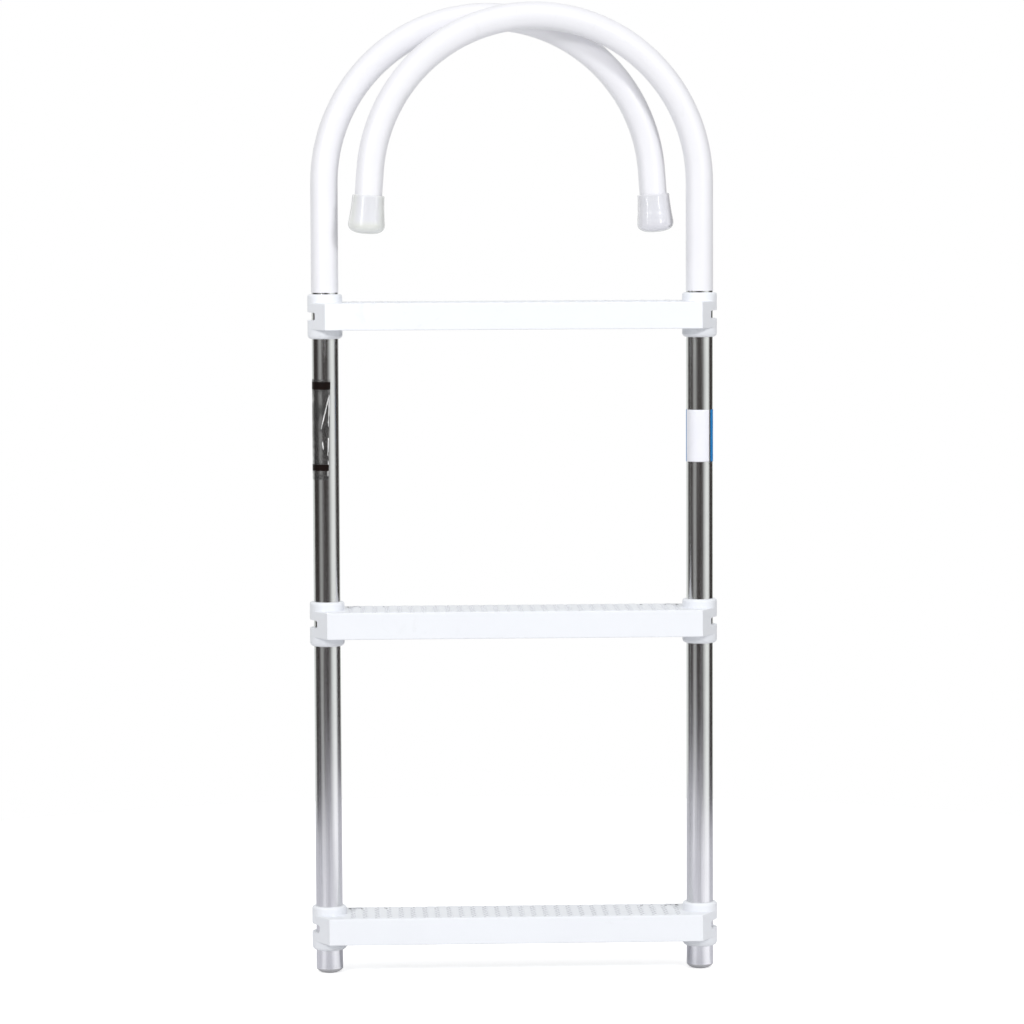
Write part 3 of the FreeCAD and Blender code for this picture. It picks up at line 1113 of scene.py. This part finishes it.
def floor_paper():
    material, tree, shader = new_material(
        "floor_paper", Roughness=0.9, Specular_IOR_Level=0.0, Emission_Strength=1.0)
    camera_looks, mirror_looks = who_looks(tree)
    put(tree, mixed(tree, mirror_looks, FLOOR_WHITE, FLOOR_MIRRORED), shader["Base Color"])
    seen = sums(tree, "MULTIPLY", camera_looks, FLOOR_GLOW)
    glow = sums(tree, "MAXIMUM", sums(tree, "MULTIPLY", mirror_looks, floor_shine(tree)), seen)
    put(tree, grey_of(tree, glow), shader["Emission Color"])
    from_below = add(tree, "ShaderNodeNewGeometry").outputs["Backfacing"]
    put(tree, sums(tree, "SUBTRACT", 1.0, from_below), shader["Alpha"])
    return material


def make_floor():
    mesh = bmesh.new()
    bmesh.ops.create_circle(mesh, cap_ends=True, radius=FLOOR_RADIUS, segments=FLOOR_SIDES)
    data = bpy.data.meshes.new("floor")
    mesh.to_mesh(data)
    mesh.free()
    floor = bpy.data.objects.new("floor", data)
    floor.location = (0, 0, floor_level)
    bpy.context.scene.collection.objects.link(floor)
    data.materials.append(floor_paper())


make_floor()
print("floor at", round(floor_level, 4))

# %% [markdown]
# The walls are painted in the world. Mirrors see the bands, under a pale ceiling, and the camera sees plain
# white. Matt surfaces get a soft fill from all round, as in a white room. It could be even, but then round
# edges would look flat, so less of it comes from the two dark sides. A little more comes from behind, where
# no lamp stands, so that the ladder's back isn't dull.

# %% Studio walls
CEILING_EDGES = (24, 46)
CEILING = grey(0.75)
FILL_SIDES = 0.24
FILL_FRONT = 0.72
FILL_BACK = 1.0
FILL_EDGES = (0.0, 0.7)


def soft_fill(tree, x, y):
    """Light from a direction on matt surfaces."""
    sideways = sums(tree, "MULTIPLY", x, x)
    lengthways = sums(tree, "SUBTRACT", 1.0, sideways)
    middle = ramp(tree, y, *FILL_EDGES, FILL_FRONT, FILL_BACK)
    sides = sums(tree, "MULTIPLY", sideways, FILL_SIDES)
    return grey_of(tree, sums(tree, "MULTIPLY_ADD", lengthways, middle, sides))


def make_studio():
    world = bpy.data.worlds.new("studio")
    bpy.context.scene.world = world
    world.use_nodes = True
    tree = world.node_tree
    background = tree.nodes["Background"].inputs
    background["Strength"].default_value = 1.0
    way = add(tree, "ShaderNodeTexCoord").outputs["Generated"]
    x, y, z = split(tree, way)
    rise = sums(tree, "DEGREES", sums(tree, "ARCSINE", z))
    bands = place_group(tree, STUDIO, Way=way)["Colour"]
    walls = mixed(tree, ramp(tree, rise, *CEILING_EDGES), bands, CEILING)
    camera_looks, mirror_looks = who_looks(tree)
    indoors = mixed(tree, mirror_looks, soft_fill(tree, x, y), walls)
    put(tree, mixed(tree, camera_looks, indoors, grey(1.0)), background["Color"])


make_studio()
print("studio painted")

# %% [markdown]
# Three soft boxes do the rest of the lighting: one on each side of the camera, above the lens, and a larger
# one overhead. A sun would be simpler, but its hard shadows don't suit a studio. These leave the front of
# each step bright, its tapered ends a little darker, and a shadow under the bar on the lower part of each
# collar. Each is placed by a heading, a rise and a distance from the point that it lights, as on a stand.

# %% Soft boxes
BOX_TARGET = Vector((0, 0, -0.45))
SOFT_BOXES = (
    # name, heading and rise in degrees, distance, size, power
    ("box_left", -34, 25, 5.0, (0.7, 0.7), 71),
    ("box_right", 34, 25, 5.0, (0.7, 0.7), 68),
    ("box_top", 0, 72, 4.0, (3.0, 1.5), 12),
)


def area_lamp(name, place, target, size, power):
    data = bpy.data.lights.new(name, "AREA")
    data.shape = "RECTANGLE"
    data.size, data.size_y = size
    data.energy = power
    lamp = bpy.data.objects.new(name, data)
    lamp.location = place
    lamp.rotation_euler = (place - target).to_track_quat("Z", "Y").to_euler()
    lamp.visible_camera = False
    bpy.context.scene.collection.objects.link(lamp)
    print(name, "at", [round(v, 2) for v in place], power, "W")


def way_to(heading, rise):
    """A direction by its heading, from the front towards +X, and its rise, both in degrees."""
    level = Matrix.Rotation(math.radians(heading), 3, "Z") @ Vector((0, -1, 0))
    return level * math.cos(math.radians(rise)) + Vector((0, 0, math.sin(math.radians(rise))))


for name, heading, rise, distance, size, power in SOFT_BOXES:
    area_lamp(name, BOX_TARGET + way_to(heading, rise) * distance, BOX_TARGET, size, power)

# %% [markdown]
# Two small strips stand close in front. They give little light, but the glossy caps mirror them as the
# upright streaks that show how round and soft the caps are. The streaks could be painted on the caps, but
# then they would turn with them.

# %% Strip lights
STRIP_TARGET = Vector((0, 0, -0.19))
STRIPS = (
    # name, place, size, power
    ("strip_left", Vector((-0.34, -0.31, -0.155)), (0.035, 0.14), 0.16),
    ("strip_right", Vector((0.34, -0.32, -0.155)), (0.028, 0.12), 0.10),
)

for name, place, size, power in STRIPS:
    area_lamp(name, place, STRIP_TARGET, size, power)
